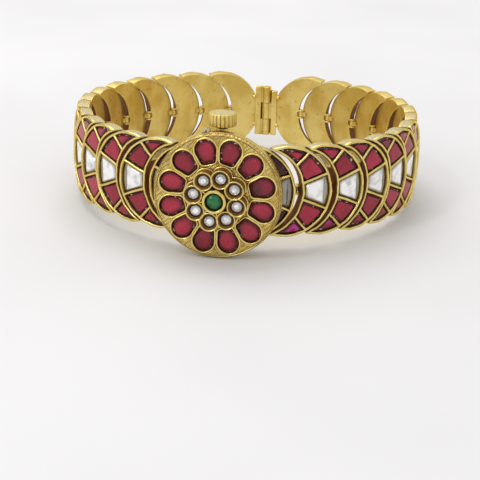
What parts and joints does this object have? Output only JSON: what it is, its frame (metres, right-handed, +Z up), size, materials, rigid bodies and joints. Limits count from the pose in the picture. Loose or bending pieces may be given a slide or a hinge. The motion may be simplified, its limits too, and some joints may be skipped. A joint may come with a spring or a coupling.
{
  "type": "stone-set link bracelet",
  "caption": "Closed ring of crescent links set with red and white stones, with a round watch-shaped head, a winding crown and a barrel clasp.",
  "frame": {"origin": "on the surface that the bracelet lies on, in the middle of its length and width", "axes": "+Y from the head towards the clasp, +Z up out of the surface, +X to the right when the head is looked at with +Z up"},
  "size_m": [0.0576, 0.0628, 0.0212],
  "materials": {
    "gold": "hand-finished yellow gold, satin with polished edges",
    "red_stone": "polished, flat tables with bevelled edges",
    "white_stone": "polished and foil-backed, silvery",
    "green_stone": "polished"
  },
  "bodies": {
    "bracelet": {"head_case": "gold", "head_cover": "gold", "flower_whites": "white_stone", "green_stone": "green_stone", "clasp_pin": "gold", "link_rubies_right": "red_stone", "link_rubies_left": "red_stone", "link_whites": "white_stone", "petal_ruby_01": "red_stone", "petal_ruby_02": "red_stone", "petal_ruby_03": "red_stone", "petal_ruby_04": "red_stone", "petal_ruby_05": "red_stone", "petal_ruby_06": "red_stone", "petal_ruby_07": "red_stone", "petal_ruby_08": "red_stone", "petal_ruby_09": "red_stone", "petal_ruby_10": "red_stone", "petal_ruby_11": "red_stone", "petal_ruby_12": "red_stone", "link_right_01": "gold", "link_right_02": "gold", "link_right_03": "gold", "link_right_04": "gold", "link_right_05": "gold", "link_right_06": "gold", "link_right_07": "gold", "link_right_08": "gold", "link_right_09": "gold", "link_right_10": "gold", "link_right_11": "gold", "link_right_12": "gold", "link_right_13": "gold", "link_right_14": "gold", "link_left_01": "gold", "link_left_02": "gold", "link_left_03": "gold", "link_left_04": "gold", "link_left_05": "gold", "link_left_06": "gold", "link_left_07": "gold", "link_left_08": "gold", "link_left_09": "gold", "link_left_10": "gold", "link_left_11": "gold", "link_left_12": "gold", "link_left_13": "gold", "link_left_14": "gold"},
    "stem": {"crown_stem": "gold"},
    "crown": {"crown": "gold"}
  },
  "joints": [
    {"name": "crown_pull", "type": "slide", "parent": "bracelet", "child": "stem", "axis": [0, 0.0448, 0.999], "range_m": [0, 0.0008]},
    {"name": "crown_turn", "type": "hinge", "parent": "stem", "child": "crown", "pos_m": [0, -0.02415, 0.0194], "axis": [0, 0.0448, 0.999], "continuous": true}
  ]
}
